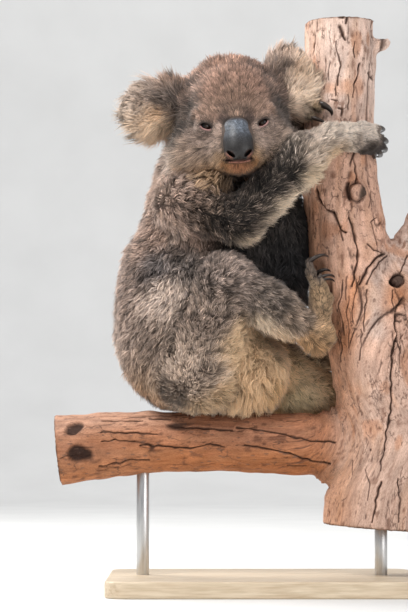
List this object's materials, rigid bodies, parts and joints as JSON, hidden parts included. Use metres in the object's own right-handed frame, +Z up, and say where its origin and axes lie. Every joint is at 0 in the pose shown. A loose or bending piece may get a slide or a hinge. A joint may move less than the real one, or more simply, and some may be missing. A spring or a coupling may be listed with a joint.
{
  "type": "koala",
  "caption": "Life-size still model of an adult koala sitting side-on on a forked tree perch, head turned to its right, hands and feet holding the trunk, on a plain stand.",
  "frame": {"origin": "centre of the underside of the stand's base plate", "axes": "+Z up along the trunk, +X from the animal's back towards the trunk, -Y the animal's right side, which its turned head faces"},
  "size_m": [0.4478, 0.2491, 0.6332],
  "materials": {
    "coat_fur": "dense woolly grey-brown coat",
    "ear_fur": "long pale ear fringe",
    "hand_fur": "short flat pale fur",
    "nose_skin": "bare slate-grey nose skin",
    "eye": "wet dark brown",
    "claw": "smooth horn",
    "bark": "stripped, cracked gum wood",
    "base_board": "dark satin board",
    "rod_steel": "brushed"
  },
  "bodies": {
    "root": {"stand_rod_trunk": "rod_steel", "stand_rod_branch": "rod_steel", "stand_base": "base_board", "perch_trunk": "bark", "perch_limb": "bark", "perch_branch": "bark", "eye_r": "eye", "eye_l": "eye", "nose": "nose_skin", "hand_r_claw_1": "claw", "hand_r_claw_2": "claw", "hand_r_claw_3": "claw", "hand_r_claw_4": "claw", "hand_r_claw_5": "claw", "hand_r": "hand_fur", "hand_l_claw_1": "claw", "hand_l_claw_2": "claw", "hand_l_claw_3": "claw", "hand_l_claw_4": "claw", "hand_l_claw_5": "claw", "hand_l": "hand_fur", "foot_r_claw_2": "claw", "foot_r_claw_3": "claw", "foot_r_claw_4": "claw", "foot_r_claw_5": "claw", "foot_r": "hand_fur", "foot_l_claw_2": "claw", "foot_l_claw_3": "claw", "foot_l_claw_4": "claw", "foot_l_claw_5": "claw", "foot_l": "hand_fur", "forearm_r": "coat_fur", "upper_arm_r": "coat_fur", "shank_r": "coat_fur", "thigh_r": "coat_fur", "forearm_l": "coat_fur", "upper_arm_l": "coat_fur", "shank_l": "coat_fur", "thigh_l": "coat_fur", "head": "coat_fur", "ear_r": "ear_fur", "ear_l": "ear_fur", "neck": "coat_fur", "torso": "coat_fur"}
  },
  "joints": []
}
